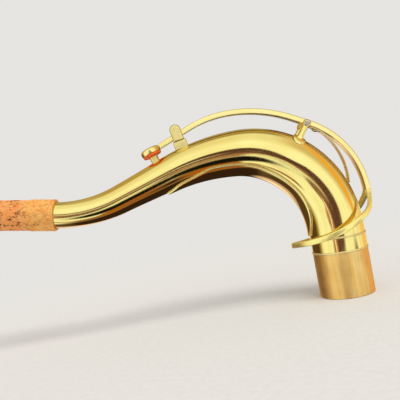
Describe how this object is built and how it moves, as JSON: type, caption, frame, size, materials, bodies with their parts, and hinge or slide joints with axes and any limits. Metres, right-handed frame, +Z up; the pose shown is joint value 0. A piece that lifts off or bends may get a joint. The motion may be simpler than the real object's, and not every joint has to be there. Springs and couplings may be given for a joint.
{
  "type": "saxophone neck",
  "caption": "Bent brass neck for a tenor saxophone with a corked end, a tenon and a sprung octave key with a ring round the tenon's collar.",
  "frame": {"origin": "centre of the tenon's lower end, on the tenon's axis", "axes": "+Z up the tenon's axis into the neck, -X towards the mouthpiece end, Y across the neck with the hinge along it"},
  "size_m": [0.2118, 0.038, 0.1031],
  "materials": {
    "lacquered_brass": "polished and lacquered",
    "key_brass": "polished and lacquered",
    "satin_brass": "bare, satin, finely scratched",
    "cork": "cork with dark fissures",
    "felt": "felt",
    "pad_leather": "smooth tan leather",
    "spring_bronze": "polished flat strip",
    "steel": "slotted steel"
  },
  "bodies": {
    "neck": {"neck_tube": "lacquered_brass", "tenon": "satin_brass", "tenon_collar": "lacquered_brass", "neck_cork": "cork", "tip_ring": "lacquered_brass", "brace_plate": "lacquered_brass", "octave_pip": "lacquered_brass", "near_post": "lacquered_brass", "near_post_foot": "lacquered_brass", "far_post": "lacquered_brass", "far_post_foot": "lacquered_brass", "hinge_screw": "steel", "guide_base": "lacquered_brass", "guide_fork": "lacquered_brass", "guide_felt": "felt"},
    "octave_key": {"hinge_tube": "key_brass", "key_arm": "key_brass", "key_ring": "key_brass", "pad_cup": "key_brass", "octave_pad": "pad_leather", "flat_spring": "spring_bronze", "spring_screw": "steel"}
  },
  "joints": [
    {"name": "octave_key_hinge", "type": "hinge", "parent": "neck", "child": "octave_key", "pos_m": [-0.00692, 0, 0.08847], "axis": [0, 1, 0], "range_deg": [0, 2.5], "stiffness_Nm_per_rad": 0.7, "springref_deg": -2.86, "deforming": ["flat_spring"]}
  ]
}
